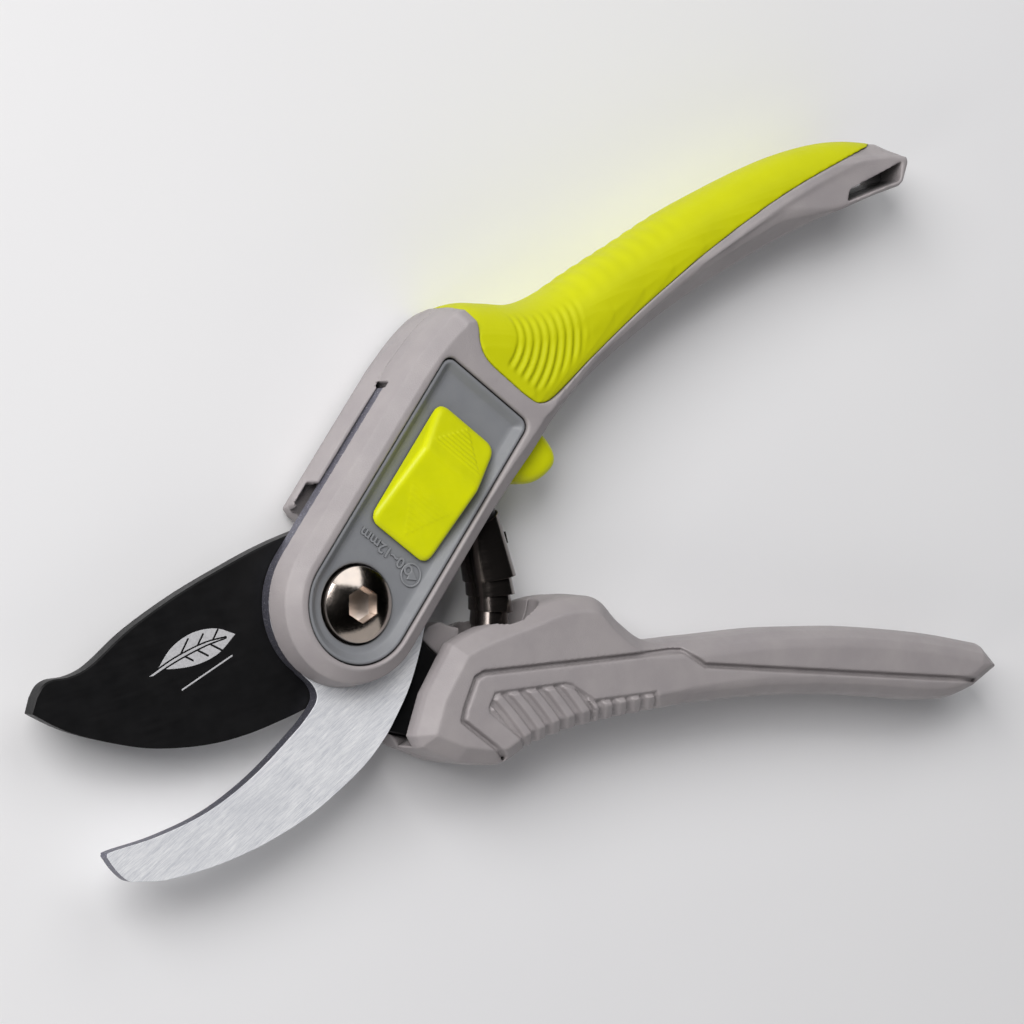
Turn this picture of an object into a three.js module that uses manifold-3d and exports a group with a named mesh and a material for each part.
// Bypass pruning shears with an opening selector, a thumb lock and a volute spring.
//
// Frame, in millimetres: the tool lies on its back. +Z runs through the thickness, towards the
// selector side. +X runs from the pivot to the handle ends, halfway between the open handles, and
// the blades point to -X. The origin is on the pivot axis, at the flat end of the pivot nut.
import * as THREE from 'three';
import { mergeVertices } from 'three/addons/utils/BufferGeometryUtils.js';
import Module from 'manifold-3d';

const wasm = await Module();
wasm.setup();

// ---------------------------------------------------------------- driving dimensions

const THICKNESS = 19;              // both shells of the head
const MID = THICKNESS / 2;         // height of the parting plane of the upper shells
const LOWER_MID = MID - 1.2;       // height of the parting plane of the lower shells
const SEAM = 0.05;                 // half of the gap between two mating shells
const GAP = 0.3;                   // room between pieces that only meet
const FAR = 200;                   // longer than the tool, for cutting regions

const HEAD_ANGLE = 40;             // direction of the head, degrees from +X
const HEAD_RADIUS = 14.8;          // round end of the head
const HEAD_SHIFT = 0.5;            // its centre, to the left of the pivot
const HEAD_RIGHT = HEAD_SHIFT - HEAD_RADIUS;
const HEAD_BEVEL = 1.8;

const CAVITY_LOW = 6.2;            // slot in the head for the two blades
const CAVITY_HIGH = 12.8;
const SWING_RADIUS = 28.3;         // room for the heel of the cutting blade
const CAVITY_END = 37.5;           // where the head becomes solid again

const BLADE_LOW = 6.8;
const BLADE_HIGH = 9.8;
const HOOK_LOW = 10;
const HOOK_HIGH = 12.6;
const DISC_RADIUS = 14.6;          // both blades, round the pivot

const SHANK_RADIUS = 3.4;          // pivot bolt
const BUSH_BORE = 3.6;
const BUSH_RADIUS = 4.7;
const PIVOT_BORE = 4.85;           // in both blades
const BOLT_HEAD_RADIUS = 6.7;
const BOLT_SEAT = 15.3;            // underside of the bolt's head
const BOLT_RIM = 17.6;
const BOLT_TOP = 19.7;
const HEX_SOCKET = 3.4;            // corner radius of the bolt's hex socket
const NUT_RADIUS = 7.3;            // corner radius of the nut
const NUT_HEIGHT = 4.6;

const PANEL_HALF = 10.6;           // half width of the selector panel, and radius of its round end
const PANEL_END = 46;
const PANEL_SEAT = 14.5;           // floor of its recess in the front shell
const PANEL_RIM = 18.5;
const PANEL_FLOOR = 17.1;
const RIM_WIDTH = 1.9;

const SLIDER_LOW = 13;             // the slider's two ends, along the head
const SLIDER_HIGH = 38.4;
const SLIDER_HALF = 7.2;
const SLIDER_RIDGE = 28.6;
const SLIDER_TRAVEL = 5.5;
const STEM_HALF = 2.4;             // half width of the stem under the slider
const STEM_AT = 26;

const SPRING_ARM = 32.8;           // pivot axis to the axis of the spring's sockets
const SPRING_AT = [32.2, 0.7];     // middle of the outer turn
const SPRING_TURNS = 6;
const SPRING_STEP = 5.2;           // degrees about the pivot from one turn to the next
const SPRING_RADIUS = 4.8;         // wide edge of the outer turn
const SPRING_PITCH = 0.4;          // radius lost with each turn
const SPRING_STRIP = 0.22;         // thickness of the strip
const SPRING_TAPER = 0.7;          // narrow edge against wide edge, on the radius
const SPRING_LIP = 2;              // extra width of the outer turn, round its seat
const SEAT_RADIUS = 3.6;           // peg inside the outer turn
const SPRING_WIDTH = 9.6;          // width of the strip

const HANDLE_BEVEL = 2;            // rounding of the handles' front and back edges
const SLOT_LENGTH = 13.6;          // hanging slot
const SLOT_HEIGHT = 4.7;

const SCREW_HEAD = 2.6;
const SCREW_SHANK = 1.35;
const SCREW_SINK = 0.5;
const SCREW_TIP = 12;

const rad = THREE.MathUtils.degToRad;

// ---------------------------------------------------------------- materials

function finish(color, roughness, metalness) {
  return new THREE.MeshStandardMaterial({ color, roughness, metalness });
}

const FINISH = {
  grey: () => finish(0xa09b9b, 0.6, 0),
  panel: () => finish(0x87898c, 0.55, 0),
  lime: () => finish(0xd4d900, 0.5, 0),
  blade: () => finish(0x19191a, 0.4, 0.3),
  hook: () => finish(0xcdd0d4, 0.35, 1),
  nickel: () => finish(0xc9bfb6, 0.12, 1),
  steel: () => finish(0x8b8d90, 0.4, 1),
  spring: () => finish(0x1d1a19, 0.2, 0.9),
  dark: () => finish(0x2a2a2b, 0.6, 0),
};

// ---------------------------------------------------------------- solids

// A closed body from a geometry, turned inside out first if its faces point inwards.
function solid(geometry) {
  const bare = geometry.clone();
  bare.deleteAttribute('normal');
  bare.deleteAttribute('uv');
  const merged = mergeVertices(bare, 1e-4);
  const vertProperties = new Float32Array(merged.attributes.position.array);
  const triVerts = new Uint32Array(merged.index.array);
  if (signedVolume(vertProperties, triVerts) < 0) {
    triVerts.reverse();
  }
  return new wasm.Manifold(new wasm.Mesh({ numProp: 3, vertProperties, triVerts }));
}

function signedVolume(points, corners) {
  const [a, b, c] = [new THREE.Vector3(), new THREE.Vector3(), new THREE.Vector3()];
  let sum = 0;
  for (let i = 0; i < corners.length; i += 3) {
    a.fromArray(points, 3 * corners[i]);
    b.fromArray(points, 3 * corners[i + 1]);
    c.fromArray(points, 3 * corners[i + 2]);
    sum += a.dot(b.cross(c));
  }
  return sum / 6;
}

function geometryOf(body) {
  const { numProp, vertProperties, triVerts } = body.getMesh();
  const positions = new Float32Array((vertProperties.length / numProp) * 3);
  for (let i = 0; i < positions.length / 3; i += 1) {
    positions.set(vertProperties.subarray(i * numProp, i * numProp + 3), 3 * i);
  }
  const geometry = new THREE.BufferGeometry();
  geometry.setAttribute('position', new THREE.BufferAttribute(positions, 3));
  geometry.setIndex(new THREE.BufferAttribute(new Uint32Array(triVerts), 1));
  geometry.computeVertexNormals();
  return geometry;
}

// A plate between two heights, with its top and bottom edges bevelled when bevel isn't 0.
function plateGeometry(shape, low, high, bevel = 0, steps = 1, curve = 12) {
  const geometry = new THREE.ExtrudeGeometry(shape, {
    depth: high - low - 2 * bevel,
    bevelEnabled: bevel > 0,
    bevelThickness: bevel,
    bevelSize: bevel,
    bevelOffset: -bevel,
    bevelSegments: steps,
    curveSegments: curve,
  });
  geometry.translate(0, 0, low + bevel);
  return geometry;
}

function plate(...sizes) {
  return solid(plateGeometry(...sizes));
}

function disc(radius, low, high, x = 0, y = 0, sides = 36) {
  const geometry = new THREE.CylinderGeometry(radius, radius, high - low, sides);
  geometry.rotateX(Math.PI / 2);
  geometry.translate(x, y, (low + high) / 2);
  return solid(geometry);
}

function ring(inner, outer, low, high) {
  return disc(outer, low, high).subtract(disc(inner, low - 1, high + 1));
}

// A body turned about a vertical axis, from [radius, height] pairs that start and end on it.
function turned(profile, x = 0, y = 0, sides = 32) {
  const geometry = new THREE.LatheGeometry(profile.map(([r, z]) => new THREE.Vector2(r, z)), sides);
  geometry.rotateX(Math.PI / 2);
  geometry.translate(x, y, 0);
  return solid(geometry);
}

function slab(low, high) {
  const geometry = new THREE.BoxGeometry(3 * FAR, 3 * FAR, high - low);
  geometry.translate(0, 0, (low + high) / 2);
  return solid(geometry);
}

function polygon(points) {
  return new THREE.Shape(points.map(([x, y]) => new THREE.Vector2(x, y)));
}

// The point at a distance along the head and a distance to its left.
function head(along, left) {
  const angle = rad(HEAD_ANGLE);
  const x = along * Math.cos(angle) - left * Math.sin(angle);
  const y = along * Math.sin(angle) + left * Math.cos(angle);
  return [x, y];
}

function vectors(points) {
  return points.map(([x, y]) => new THREE.Vector2(x, y));
}

// A block laid out along the head.
function headBlock(along0, along1, left0, left1, low, high) {
  const corners = [head(along0, left0), head(along1, left0), head(along1, left1), head(along0, left1)];
  return plate(polygon(corners), low, high);
}

// A rounded rectangle laid out along the head.
function headPad(along0, along1, left0, left1, corner) {
  const shape = new THREE.Shape();
  const turn = rad(HEAD_ANGLE);
  const corners = [
    [along1 - corner, left1 - corner, 0],
    [along0 + corner, left1 - corner, 90],
    [along0 + corner, left0 + corner, 180],
    [along1 - corner, left0 + corner, 270],
  ];
  for (const [along, left, from] of corners) {
    const [x, y] = head(along, left);
    shape.absarc(x, y, corner, turn + rad(from), turn + rad(from + 90), false);
  }
  return shape;
}

// ---------------------------------------------------------------- upper handle: outlines

// The head from above: a round end, two straight walls and the shoulder where the grip begins.
function headOutline() {
  const shape = new THREE.Shape();
  const [cx, cy] = head(0, HEAD_SHIFT);
  const turn = rad(HEAD_ANGLE);
  shape.absarc(cx, cy, HEAD_RADIUS, turn + rad(90), turn + rad(270), false);
  shape.lineTo(...head(33, HEAD_RIGHT));
  shape.lineTo(41, 15.2);
  shape.lineTo(50, 20.4);
  shape.lineTo(52, 42);
  shape.lineTo(42, 43.8);
  shape.lineTo(36.5, 44.9);
  shape.lineTo(32, 44.2);
  shape.lineTo(27, 41.3);
  shape.closePath();
  return shape;
}

const HANDLE_BELLY = [[42, 15.8], [50, 20.4], [60, 25.3], [70, 29.3], [80, 32.8], [90, 35.6],
  [100, 38], [110, 40], [120, 41.7], [130, 42.9], [138.5, 43.4]];
const HANDLE_BACK = [[138.2, 52.2], [130, 54.5], [123, 55.4], [114, 55.3], [105, 54.3], [95, 52.6],
  [85, 50.6], [75, 47.9], [64, 45], [55, 42.4], [48.5, 42], [42, 43.8]];

function upperHandleOutline() {
  const shape = new THREE.Shape();
  shape.moveTo(...HANDLE_BELLY[0]);
  shape.splineThru(vectors(HANDLE_BELLY.slice(1)));
  shape.lineTo(142.5, 48.9);
  shape.lineTo(...HANDLE_BACK[0]);
  shape.splineThru(vectors(HANDLE_BACK.slice(1)));
  shape.closePath();
  return shape;
}

// The region of the grip, with its lower edge moved into the shells by a distance.
function gripRegion(into) {
  const edge = [[33.6, 45], [35.6, 41], [35.2, 37.4], [35.6, 34.6], [42.6, 25.8], [45, 24.2], [49, 24.9],
    [58, 29.3], [68, 33.9], [78, 38], [88, 41.8], [98, 45.1], [108, 48], [118, 50.2], [129, 52], [139, 53]];
  const shape = new THREE.Shape();
  shape.moveTo(25, 70);
  for (const [x, y] of edge) {
    shape.lineTo(x - 0.7 * into * (x < 45 ? 1 : -0.4), y - 0.8 * into);
  }
  shape.lineTo(150, 70);
  shape.closePath();
  return shape;
}

// Scales heights about the parting plane, from 1 where a handle starts to less at its end.
function tapered(geometry, from, to, least) {
  const points = geometry.attributes.position;
  for (let i = 0; i < points.count; i += 1) {
    const along = (points.getX(i) - from) / (to - from);
    points.setZ(i, MID + (points.getZ(i) - MID) * (1 - (1 - least) * along));
  }
  return solid(geometry);
}

const HANDLE_THIN = 0.66;

// The whole upper handle as one body, before it is parted into shells and grip.
function upperBody() {
  const block = plate(headOutline(), 0, THICKNESS, HEAD_BEVEL, 2);
  const bar = plateGeometry(upperHandleOutline(), 0.4, THICKNESS - 0.4, HANDLE_BEVEL, 3, 2);
  return block.add(tapered(bar, 42, 142.5, HANDLE_THIN));
}

function gripCore(room) {
  const shape = new THREE.Shape();
  const top = HANDLE_BACK.slice(1, -2).map(([x, y]) => [x, y - 4.2 + room]);
  shape.moveTo(44, 20);
  shape.lineTo(129 + room, 46);
  top.forEach(([x, y]) => shape.lineTo(x + room, y));
  shape.lineTo(46 - room, 37 + room);
  shape.closePath();
  return plate(shape, MID - 3 - room, MID + 3 + room);
}

// The part of the head that is solid through both shells, past the slot for the blades.
function solidZone() {
  const corners = [head(28.5, -40), head(28.5, -7.8), head(CAVITY_END, -7.8), head(CAVITY_END, 40), [20, 90],
    [FAR, 90], [FAR, -60]];
  return polygon(corners);
}

function hookSeat(room) {
  return headBlock(0, 36 + room, -6.5 - room, DISC_RADIUS + room, HOOK_LOW - room, HOOK_HIGH + room);
}

function hangingSlot() {
  const angle = rad(9);
  const geometry = new THREE.BoxGeometry(SLOT_LENGTH, SLOT_HEIGHT, 3 * THICKNESS);
  geometry.rotateZ(angle);
  geometry.translate(133, 46.6, MID);
  return solid(geometry);
}

const UPPER_SCREWS = [head(41.5, 4), [68, 30.6], [116, 44.6]];
const HOOK_RIVETS = [head(31, 9.5), head(34, -4)];

// Height of a tapered handle's rear face, where its screws are sunk.
function rearFace(x, start, end, least, low) {
  const along = Math.max(0, (x - start) / (end - start));
  return MID - (MID - low) * (1 - (1 - least) * along);
}

const upperScrewLow = (x) => rearFace(x, 42, 142.5, HANDLE_THIN, 0.4) + SCREW_SINK;

function screwRoom(x, y, low) {
  const sink = disc(SCREW_HEAD + GAP, -5, low + 2.2, x, y, 16);
  return sink.add(disc(SCREW_SHANK + GAP, -5, SCREW_TIP + GAP, x, y, 16));
}

function rivetRoom(x, y) {
  return disc(1.8 + GAP, 2.6, PANEL_SEAT + 1, x, y, 16);
}

// The thumb lock sits in a pocket of the handle's inner edge and slides along it.
const LOCK_ANGLE = 31;
const LOCK_AT = [43.4, 15.2];
const LOCK_TRAVEL = 4;
const LOCK_HALF = 4.2;

function lockShape(length, depth) {
  const shape = new THREE.Shape();
  shape.moveTo(-length / 2, 4.2);
  shape.lineTo(-length / 2, -0.6);
  shape.quadraticCurveTo(-length * 0.3, -depth, length * 0.2, -depth);
  shape.quadraticCurveTo(length / 2, -depth, length / 2, 0);
  shape.lineTo(length / 2, 4.2);
  shape.closePath();
  return shape;
}

function lockPocket() {
  const room = new THREE.BoxGeometry(11.5 + LOCK_TRAVEL + 2 * GAP, 12, 2 * (LOCK_HALF + GAP));
  room.translate(LOCK_TRAVEL / 2, -6 + 4.2 + 1.6, MID);
  room.rotateZ(rad(LOCK_ANGLE));
  room.translate(...LOCK_AT, 0);
  return solid(room);
}

// A peg along the upper end of the spring's axis.
function seatPeg(radius, low, high) {
  const geometry = new THREE.CylinderGeometry(radius, radius, high - low, 32);
  geometry.translate(SPRING_AT[0], (low + high) / 2, MID);
  return solid(geometry);
}

function selectorSlot(room) {
  const low = STEM_AT - SLIDER_TRAVEL - STEM_HALF - room;
  return headBlock(low, STEM_AT + STEM_HALF + room, -STEM_HALF - room, STEM_HALF + room, BLADE_LOW, 30);
}

function panelOutline(inset) {
  const shape = new THREE.Shape();
  const turn = rad(HEAD_ANGLE);
  const half = PANEL_HALF - inset;
  const end = PANEL_END - inset;
  const corner = 2;
  shape.absarc(0, 0, half, turn + rad(90), turn + rad(270), false);
  shape.absarc(...head(end - corner, corner - half), corner, turn - rad(90), turn, false);
  shape.absarc(...head(end - corner, half - corner), corner, turn, turn + rad(90), false);
  return shape;
}

// ---------------------------------------------------------------- upper handle: pieces

const whole = upperBody();
const zone = plate(solidZone(), -1, THICKNESS + 1);
const grip = plate(gripRegion(0), -5, THICKNESS + 5);
const gripRoom = plate(gripRegion(GAP), -5, THICKNESS + 5);
const core = gripCore(0);
const seatRoom = seatPeg(SPRING_RADIUS + GAP, -20, 7.8).add(seatPeg(SEAT_RADIUS + GAP, -20, 12.4));

// Both shells without the grip, but with the core that the grip is moulded round.
const shells = whole.subtract(gripRoom.subtract(core))
  .subtract(hangingSlot())
  .subtract(lockPocket())
  .subtract(seatRoom)
  .subtract(hookSeat(GAP));

function frontShell() {
  const upper = shells.intersect(slab(CAVITY_HIGH, 40));
  const joined = shells.intersect(zone).intersect(slab(MID + SEAM, 40));
  let body = upper.add(joined)
    .subtract(plate(panelOutline(0), PANEL_SEAT, 40))
    .subtract(selectorSlot(GAP))
    .subtract(disc(SHANK_RADIUS + GAP, 0, 40));
  for (const [x, y] of UPPER_SCREWS) {
    body = body.subtract(screwRoom(x, y, 0));
  }
  for (const [x, y] of HOOK_RIVETS) {
    body = body.subtract(rivetRoom(x, y));
  }
  return body;
}

// The rear shell's left wall shields the blades' edges and ends in a rounded lip.
function shieldWall() {
  const shape = new THREE.Shape();
  shape.moveTo(...head(9.5, 15.7));
  shape.lineTo(...head(38, 15.7));
  shape.lineTo(...head(46, 13));
  shape.lineTo(...head(44, 14.6));
  shape.splineThru(vectors([head(36, 16.6), head(26, 17.4), head(15, 17.1)]));
  shape.lineTo(...head(9.5, 16.6));
  shape.closePath();
  return plate(shape, 1.6, CAVITY_HIGH - 0.9)
    .subtract(headBlock(CAVITY_END - GAP, 60, -20, 40, MID - SEAM, 40));
}

const REAR_NOSE = 12.2;             // radius of the rear shell round the nut

function rearShell() {
  const lower = whole.intersect(slab(-1, CAVITY_LOW)).add(shieldWall());
  const joined = whole.intersect(zone).intersect(slab(-1, MID - SEAM));
  const bridge = headBlock(12, 38, 12, 16.2, 1.8, CAVITY_LOW);
  // Beside the pivot the shell stays back behind the blades.
  const step = headBlock(-20, 8.8, 0, 20, -1, CAVITY_LOW + 1).subtract(disc(REAR_NOSE, -2, CAVITY_LOW + 2));
  let body = lower.add(joined).add(bridge)
    .subtract(step)
    .subtract(gripRoom.subtract(core))
    .subtract(hangingSlot())
    .subtract(lockPocket())
    .subtract(seatRoom)
    .subtract(disc(NUT_RADIUS + 0.5, -5, NUT_HEIGHT + 0.2, 0, 0, 6))
    .subtract(disc(SHANK_RADIUS + GAP, 0, 40));
  for (const [x, y] of UPPER_SCREWS) {
    body = body.subtract(screwRoom(x, y, upperScrewLow(x)));
  }
  for (const [x, y] of HOOK_RIVETS) {
    body = body.subtract(rivetRoom(x, y));
  }
  return body;
}

function gripPad() {
  return whole.intersect(grip).subtract(gripCore(GAP));
}

function selectorPanel() {
  const dish = plate(panelOutline(GAP + RIM_WIDTH), PANEL_FLOOR, 40);
  return plate(panelOutline(GAP), PANEL_SEAT + 0.2, PANEL_RIM)
    .subtract(dish)
    .subtract(disc(BOLT_HEAD_RADIUS + 0.5, 0, 40))
    .subtract(selectorSlot(GAP))
    .subtract(headBlock(19.7, 34.3, 4.1, 6.4, PANEL_SEAT, PANEL_SEAT + 1.2));
}

function detentSpring() {
  const strip = headBlock(20, 34, 4.4, 6.1, PANEL_SEAT + 0.3, PANEL_SEAT + 0.65);
  return strip.add(headBlock(26, 28, 4.4, 6.1, PANEL_SEAT + 0.5, PANEL_SEAT + 1));
}

function pivotBolt() {
  const dome = [];
  const steps = 6;
  for (let i = 0; i <= steps; i += 1) {
    const part = i / steps;
    const radius = (BOLT_HEAD_RADIUS - 0.6) * Math.cos(part * Math.PI / 2);
    dome.push([radius, BOLT_RIM + (BOLT_TOP - BOLT_RIM) * Math.sin(part * Math.PI / 2)]);
  }
  const profile = [[0, 1.5], [SHANK_RADIUS, 1.5], [SHANK_RADIUS, BOLT_SEAT], [BOLT_HEAD_RADIUS, BOLT_SEAT],
    [BOLT_HEAD_RADIUS, BOLT_RIM - 0.4], [BOLT_HEAD_RADIUS - 0.4, BOLT_RIM], ...dome];
  return turned(profile, 0, 0, 36).subtract(disc(HEX_SOCKET, BOLT_TOP - 2.6, 40, 0, 0, 6));
}

function pivotNut() {
  return disc(NUT_RADIUS, 0, NUT_HEIGHT, 0, 0, 6).subtract(disc(SHANK_RADIUS + 0.2, 1.2, 40));
}

// The fixed hook blade: a disc round the pivot, a shank up the head and the curved hook.
const HOOK_CREST = [[5, -24.2], [0, -27.3], [-5, -29.6], [-15, -33.1], [-25, -35.3], [-35, -36.1],
  [-45, -35.6], [-52.2, -33.7]];
const HOOK_THROAT = [[-55.9, -28.2], [-53, -27.7], [-45, -28], [-35, -26.8], [-25, -23.6], [-15, -18.8],
  [-10.2, -15.8]];

function hookBlade() {
  const shape = new THREE.Shape();
  shape.moveTo(11.5, -13.6);
  shape.splineThru(vectors(HOOK_CREST));
  shape.quadraticCurveTo(-54.3, -32.4, ...HOOK_THROAT[0]);
  shape.splineThru(vectors(HOOK_THROAT.slice(1)));
  shape.quadraticCurveTo(-8.6, -14.2, -9.4, -11.2);
  shape.closePath();
  const shank = headBlock(0, 36, -6.5, DISC_RADIUS, HOOK_LOW, HOOK_HIGH);
  let body = plate(shape, HOOK_LOW, HOOK_HIGH, 0, 1, 3)
    .add(disc(DISC_RADIUS, HOOK_LOW, HOOK_HIGH))
    .add(shank)
    .subtract(disc(PIVOT_BORE, 0, 40))
    .subtract(selectorSlot(GAP));
  for (const [x, y] of HOOK_RIVETS) {
    body = body.subtract(disc(1.8 + 0.1, 0, 40, x, y, 16));
  }
  return body;
}

function hookRivet(x, y) {
  return disc(1.8, 3, PANEL_SEAT - 0.2, x, y, 16);
}

function shellScrew(x, y, low) {
  const profile = [[0, low], [SCREW_HEAD - 0.3, low], [SCREW_HEAD, low + 0.3], [SCREW_HEAD, low + 1.5],
    [SCREW_SHANK, low + 2], [SCREW_SHANK, SCREW_TIP - 1], [0, SCREW_TIP]];
  return turned(profile, x, y, 16).subtract(disc(1.2, low - 1, low + 1, x, y, 6));
}

function springSeatUpper() {
  return seatPeg(SEAT_RADIUS, 5.9, 12);
}

function lockButton() {
  return plate(lockShape(11, 5.6), -LOCK_HALF, LOCK_HALF, 0.8, 1, 8);
}

// ---------------------------------------------------------------- selector

function selectorSlider() {
  const side = new THREE.Shape();
  side.moveTo(SLIDER_LOW - 1, PANEL_FLOOR + 0.2);
  side.lineTo(SLIDER_HIGH + 1, PANEL_FLOOR + 0.2);
  side.lineTo(SLIDER_HIGH + 1, PANEL_FLOOR + 1);
  side.lineTo(SLIDER_RIDGE + 1, PANEL_FLOOR + 4.2);
  side.quadraticCurveTo(SLIDER_RIDGE, PANEL_FLOOR + 4.5, SLIDER_RIDGE - 1, PANEL_FLOOR + 4.2);
  side.lineTo(SLIDER_LOW - 1, PANEL_FLOOR + 1);
  side.closePath();
  const width = 3 * SLIDER_HALF;
  const geometry = new THREE.ExtrudeGeometry(side, { depth: width, bevelEnabled: false, curveSegments: 4 });
  geometry.rotateX(Math.PI / 2);
  geometry.translate(0, width / 2, 0);
  geometry.rotateZ(rad(HEAD_ANGLE));
  const pad = plate(headPad(SLIDER_LOW, SLIDER_HIGH, -SLIDER_HALF, SLIDER_HALF, 2.2), 15, 25, 0, 1, 6);
  return solid(geometry).intersect(pad);
}

// The stop under the slider: a stem down through the head, to the level of the cutting blade.
function selectorStop() {
  const low = STEM_AT - STEM_HALF;
  return headBlock(low, STEM_AT + STEM_HALF, -STEM_HALF, STEM_HALF, BLADE_LOW + 0.4, PANEL_FLOOR - 0.1);
}

// ---------------------------------------------------------------- spring

// One turn of the volute strip, about its own axis along Y, with its wide edge down.
function springTurn(index) {
  const wide = SPRING_RADIUS - SPRING_PITCH * index;
  const narrow = wide - SPRING_TAPER;
  const low = -SPRING_WIDTH / 2;
  const high = index === 0 ? SPRING_LIP - low : -low;
  const profile = [[wide, low], [narrow, high], [narrow - SPRING_STRIP, high], [wide - SPRING_STRIP, low],
    [wide, low]];
  const points = profile.map(([r, y]) => new THREE.Vector2(r, y));
  return solid(new THREE.LatheGeometry(points, 28));
}

// ---------------------------------------------------------------- lower handle

const LOWER_TOP = [[17.4, -11.9], [23, -11], [33, -11.1], [41, -10.9], [47, -11.8], [51, -13.4],
  [53.5, -18.2], [59, -23.4], [70, -25.8], [85, -28.7], [95, -31.2], [105, -34], [115, -37.4],
  [125, -41.2], [136.5, -46.4]];
const LOWER_BELLY = [[132, -54.2], [126, -54.4], [118.5, -52.6], [110, -49.6], [101.5, -46.6], [91, -43.4],
  [81, -40.8], [71, -38.7], [61, -36.8], [46, -34.8], [36, -34.2], [21.5, -35.8], [13, -32.8]];
const LOWER_SCREWS = [[66, -31.5], [92, -37.6], [122, -48]];
const BLADE_RIVETS = [[31, -27.3], [48, -28.8]];
const LOWER_THIN = 0.68;
const lowerScrewLow = (x) => rearFace(x, 6, 139.8, LOWER_THIN, 0.5) + SCREW_SINK;

function lowerHandleOutline() {
  const shape = new THREE.Shape();
  shape.moveTo(...LOWER_TOP[0]);
  shape.splineThru(vectors(LOWER_TOP.slice(1)));
  shape.lineTo(139.8, -52);
  shape.lineTo(...LOWER_BELLY[0]);
  shape.splineThru(vectors(LOWER_BELLY.slice(1)));
  shape.lineTo(6.4, -28.3);
  shape.lineTo(5.6, -25.4);
  shape.lineTo(10, -19);
  shape.closePath();
  return shape;
}

// The tang of the cutting blade, from its disc to the middle of the hump.
function tangOutline(room) {
  const points = [[12.6 - room, -7.2 + room], [17, -13.6 + room], [21.5, -20 + room], [30, -24 + room],
    [56 + room, -26.6 + room], [56 + room, -31.2 - room], [30, -30.6 - room], [12, -28.6 - room],
    [4.4 - room, -24.4 - room], [-2 - room, -14]];
  return polygon(points);
}

const SOCKET_MOUTH = 8.6;
const SOCKET_THROAT = 6.4;         // wide enough for the outer turn when the handles close
const SOCKET_BASE = 4.2;
const SOCKET_FLOOR = -6.6;
const SOCKET_HIGH = 12;
const PLUG_RADIUS = 1.3;
const PLUG_TOP = -1.2;             // top of the peg that the spring's last turn stands on

// A body turned about the axis of the spring's lowest turn, from [radius, height] pairs.
function alongSpringFoot(profile) {
  const geometry = new THREE.LatheGeometry(profile.map(([r, y]) => new THREE.Vector2(r, y)), 32);
  geometry.translate(SPRING_ARM, 0, MID);
  geometry.rotateZ(-rad(SPRING_STEP * (SPRING_TURNS - 1)));
  return solid(geometry);
}

// The socket in the lower handle that holds the foot of the spring.
function springSocket() {
  return alongSpringFoot([[0, SOCKET_FLOOR], [SOCKET_BASE, SOCKET_FLOOR], [SOCKET_THROAT, SOCKET_FLOOR + 1.4],
    [SOCKET_MOUTH, SOCKET_HIGH / 2], [SOCKET_MOUTH, SOCKET_HIGH], [0, SOCKET_HIGH]]);
}

function springSeatLower() {
  const foot = SOCKET_FLOOR + 0.1;
  return alongSpringFoot([[0, foot], [PLUG_RADIUS, foot], [PLUG_RADIUS, PLUG_TOP], [0, PLUG_TOP]]);
}

function lowerBody() {
  const block = plateGeometry(lowerHandleOutline(), 0.5, THICKNESS - 0.5, 3, 2, 2);
  const bar = tapered(block, 6, 139.8, LOWER_THIN);
  return bar.subtract(springSocket());
}

const lower = lowerBody();
const tangRoom = plate(tangOutline(GAP), BLADE_LOW - GAP, BLADE_HIGH + GAP);

function lowerFrontShell() {
  let body = lower.intersect(slab(LOWER_MID + SEAM, 40))
    .subtract(tangRoom)
    .subtract(disc(28.6, 0, CAVITY_HIGH + 0.2));
  for (const [x, y] of LOWER_SCREWS) {
    body = body.subtract(screwRoom(x, y, 0));
  }
  for (const [x, y] of BLADE_RIVETS) {
    body = body.subtract(disc(2.3, 0, 13, x, y, 16));
  }
  return body;
}

// A low ear beside the heel of the blade, which slips into the slot of the head.
function ear() {
  const shape = polygon([[15.4, -10.8], [17.4, -9.2], [20, -8.9], [22, -10.4], [26, -12.2], [24, -18],
    [18.6, -15.4]]);
  return plate(shape, BLADE_LOW - 0.2, BLADE_HIGH - 0.2).intersect(disc(SWING_RADIUS, 0, 40));
}

function lowerRearShell() {
  const half = lower.intersect(slab(-1, LOWER_MID - SEAM));
  let body = half.add(ear().subtract(springSocket())).subtract(tangRoom);
  for (const [x, y] of LOWER_SCREWS) {
    body = body.subtract(screwRoom(x, y, lowerScrewLow(x)));
  }
  for (const [x, y] of BLADE_RIVETS) {
    body = body.subtract(disc(2.3, 3.6, 13, x, y, 16));
  }
  return body;
}

// The cutting blade: a hooked spine, a curved edge with its bevel behind, a disc and a tang.
const SPINE = [[-58.5, 2.4], [-55.5, 2.3], [-52, 2.1], [-47, 3.4], [-40, 6.6], [-30, 9.8], [-20, 12],
  [-10, 13.7]];
const EDGE = [[-61.7, -1.8], [-55, -6.9], [-47, -11.3], [-40, -14.2], [-31, -16.3], [-23, -16.9],
  [-15, -16.5], [-10, -15.9]];
const EDGE_LAND = 0.2;
const BEVEL_WIDTH = 5;

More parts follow.
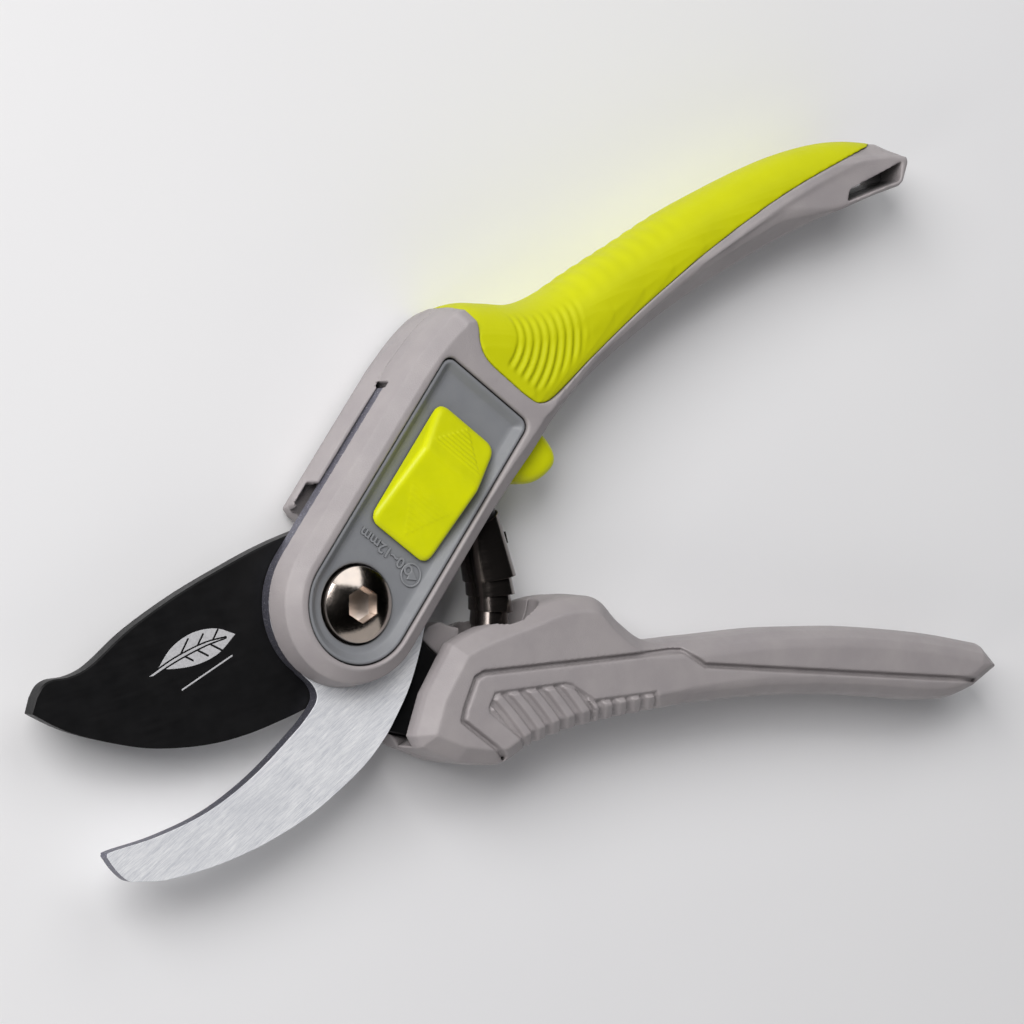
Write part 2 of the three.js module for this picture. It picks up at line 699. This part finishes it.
function cuttingBlade() {
  const shape = new THREE.Shape();
  shape.moveTo(2, DISC_RADIUS);
  shape.lineTo(...SPINE[SPINE.length - 1]);
  shape.splineThru(vectors([...SPINE].reverse().slice(1)));
  shape.quadraticCurveTo(-60.6, 0.6, ...EDGE[0]);
  shape.splineThru(vectors(EDGE.slice(1)));
  shape.lineTo(-4, -14);
  shape.lineTo(2, -10);
  shape.closePath();
  // The rear bevel cuts a wedge along the edge and leaves a thin land.
  const bevel = EDGE.map(([x, y], i) => {
    const next = EDGE[Math.min(i + 1, EDGE.length - 1)];
    const before = EDGE[Math.max(i - 1, 0)];
    const slope = Math.atan2(next[1] - before[1], next[0] - before[0]);
    return [x, y, slope];
  });
  let body = plate(shape, BLADE_LOW, BLADE_HIGH, 0, 1, 3);
  for (let i = 0; i < bevel.length - 1; i += 1) {
    body = body.subtract(edgeWedge(bevel[i], bevel[i + 1]));
  }
  body = body.add(disc(DISC_RADIUS, BLADE_LOW, BLADE_HIGH))
    .add(plate(tangOutline(0), BLADE_LOW, BLADE_HIGH))
    .subtract(disc(PIVOT_BORE, 0, 40));
  for (const [x, y] of BLADE_RIVETS) {
    body = body.subtract(disc(2.1, 0, 40, x, y, 16));
  }
  return body;
}

// A wedge under one stretch of the cutting edge, from the edge's land to the rear face.
function edgeWedge(from, to) {
  const base = BLADE_LOW - 0.5;
  const corners = ([x, y, slope]) => [[-2, base], [BEVEL_WIDTH, base], [-2, BLADE_HIGH - EDGE_LAND]].map(
    ([inwards, z]) => [x - inwards * Math.sin(slope), y + inwards * Math.cos(slope), z],
  );
  const points = [...corners(from), ...corners(to)];
  const geometry = new THREE.BufferGeometry();
  geometry.setAttribute('position', new THREE.Float32BufferAttribute(points.flat(), 3));
  geometry.setIndex([0, 2, 1, 3, 4, 5, 0, 1, 4, 0, 4, 3, 1, 2, 5, 1, 5, 4, 2, 0, 3, 2, 3, 5]);
  geometry.computeVertexNormals();
  return solid(geometry);
}

function bladeRivet(x, y) {
  return disc(2, 3.8, 12.7, x, y, 16);
}

// ---------------------------------------------------------------- assembly

const shears = new THREE.Group();
shears.name = 'pruning_shears';

function add(name, body, material, parent = shears) {
  const mesh = new THREE.Mesh(geometryOf(body), material);
  mesh.name = name;
  parent.add(mesh);
  return mesh;
}

add('front_shell', frontShell(), FINISH.grey());
add('rear_shell', rearShell(), FINISH.grey());
add('grip_pad', gripPad(), FINISH.lime());
add('selector_panel', selectorPanel(), FINISH.panel());
add('detent_spring', detentSpring(), FINISH.steel());
add('hook_blade', hookBlade(), FINISH.hook());
HOOK_RIVETS.forEach(([x, y], i) => add(`hook_rivet_${i + 1}`, hookRivet(x, y), FINISH.steel()));
add('pivot_bolt', pivotBolt(), FINISH.nickel());
add('pivot_nut', pivotNut(), FINISH.nickel());
add('pivot_bush', ring(BUSH_BORE, BUSH_RADIUS, CAVITY_LOW + 0.15, CAVITY_HIGH - 0.15), FINISH.steel());
add('rear_washer', ring(5.1, 9, CAVITY_LOW + 0.1, BLADE_LOW - 0.1), FINISH.steel());
add('front_washer', ring(BUSH_BORE, BOLT_HEAD_RADIUS, PANEL_SEAT + 0.1, BOLT_SEAT - 0.1), FINISH.steel());
UPPER_SCREWS.forEach(([x, y], i) => {
  add(`upper_screw_${i + 1}`, shellScrew(x, y, upperScrewLow(x)), FINISH.steel());
});
add('spring_seat_upper', springSeatUpper(), FINISH.dark());

const lock = add('lock_button', lockButton(), FINISH.lime());
lock.position.set(...LOCK_AT, MID);
lock.rotation.z = rad(LOCK_ANGLE);

add('selector_slider', selectorSlider(), FINISH.lime());
add('selector_stop', selectorStop(), FINISH.steel());

for (let i = 0; i < SPRING_TURNS; i += 1) {
  const arm = new THREE.Group();
  arm.rotation.z = -rad(SPRING_STEP * i);
  shears.add(arm);
  const turn = add(`spring_turn_${i + 1}`, springTurn(i), FINISH.spring(), arm);
  turn.position.set(...SPRING_AT, MID);
}

add('cutting_blade', cuttingBlade(), FINISH.blade());
BLADE_RIVETS.forEach(([x, y], i) => add(`blade_rivet_${i + 1}`, bladeRivet(x, y), FINISH.steel()));
add('lower_front_shell', lowerFrontShell(), FINISH.grey());
add('lower_rear_shell', lowerRearShell(), FINISH.grey());
LOWER_SCREWS.forEach(([x, y], i) => {
  add(`lower_screw_${i + 1}`, shellScrew(x, y, lowerScrewLow(x)), FINISH.steel());
});
add('spring_seat_lower', springSeatLower(), FINISH.dark());

export default shears;
